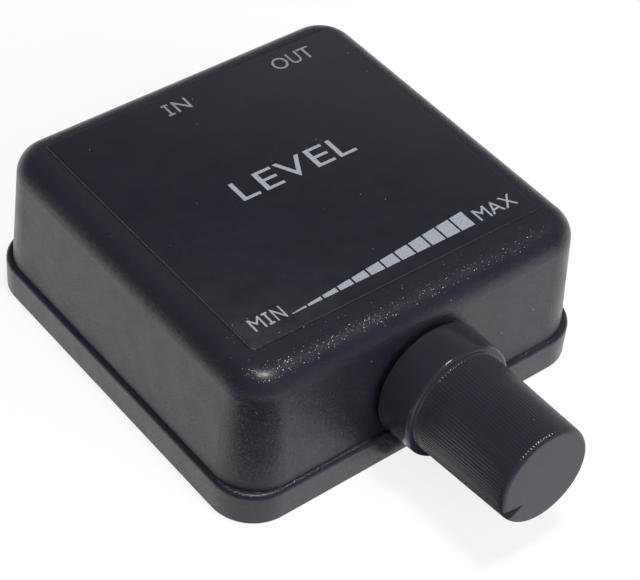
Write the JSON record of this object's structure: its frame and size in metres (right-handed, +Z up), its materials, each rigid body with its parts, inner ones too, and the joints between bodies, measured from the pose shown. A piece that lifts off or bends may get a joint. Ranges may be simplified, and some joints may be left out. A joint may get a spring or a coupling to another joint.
{
  "type": "inline volume control",
  "caption": "Small square black plastic box with a ribbed front knob that sets the level of a stereo line passed between an input and an output socket at the rear.",
  "frame": {"origin": "centre of the base's underside", "axes": "+Z up out of the case's top, -Y out of the front through the knob, +Y to the rear sockets, +X to the right of someone who faces the knob"},
  "size_m": [0.05, 0.0707, 0.0202],
  "materials": {
    "case_plastic": "fine spark-eroded texture, semi-gloss black ABS",
    "label_film": "smooth dark film with pale print",
    "knob_plastic": "smooth moulded black, ribbed grip",
    "screw_steel": "zinc-plated self-tapping screws",
    "nickel": "bright nickel plate",
    "shaft_alloy": "turned alloy",
    "zinc": "die-cast zinc alloy",
    "clip_steel": "bright steel sheet",
    "rotor_plastic": "natural moulded plastic",
    "frame_plastic": "moulded black plastic",
    "board": "phenolic board",
    "contact_brass": "plated spring brass",
    "tinned_wire": "tinned copper",
    "wire_white": "PVC insulation, white",
    "wire_red": "PVC insulation, red",
    "wire_black": "PVC insulation, black"
  },
  "bodies": {
    "case": {"upper_case": "case_plastic", "base_cover": "case_plastic", "top_label": "label_film", "case_screws": "screw_steel", "input_bush": "nickel", "input_nut": "nickel", "output_bush": "nickel", "output_nut": "nickel", "pot_nut": "nickel", "pot_lock_washer": "nickel", "pot_bush": "zinc", "pot_rear_cover": "clip_steel", "pot_front_housing": "frame_plastic", "pot_rear_housing": "frame_plastic", "input_body": "frame_plastic", "output_body": "frame_plastic", "pot_front_track": "board", "pot_rear_track": "board", "pot_front_lugs": "contact_brass", "pot_rear_lugs": "contact_brass", "input_tip_contact": "contact_brass", "input_ring_contact": "contact_brass", "input_sleeve_contact": "contact_brass", "output_tip_contact": "contact_brass", "output_ring_contact": "contact_brass", "output_sleeve_contact": "contact_brass", "ground_link": "tinned_wire", "wire_in_left": "wire_white", "wire_out_left": "wire_white", "wire_in_right": "wire_red", "wire_out_right": "wire_red", "wire_in_ground": "wire_black", "wire_out_ground": "wire_black"},
    "control": {"knob": "knob_plastic", "pot_shaft": "shaft_alloy", "pot_shaft_clip": "clip_steel", "pot_front_rotor": "rotor_plastic", "pot_front_wiper": "contact_brass", "pot_rear_rotor": "rotor_plastic", "pot_rear_wiper": "contact_brass"}
  },
  "joints": [
    {"name": "knob_turn", "type": "hinge", "parent": "case", "child": "control", "pos_m": [0, -0.02411, 0.01], "axis": [0, 0.9981, -0.061], "range_deg": [-28.5, 271.5]}
  ]
}
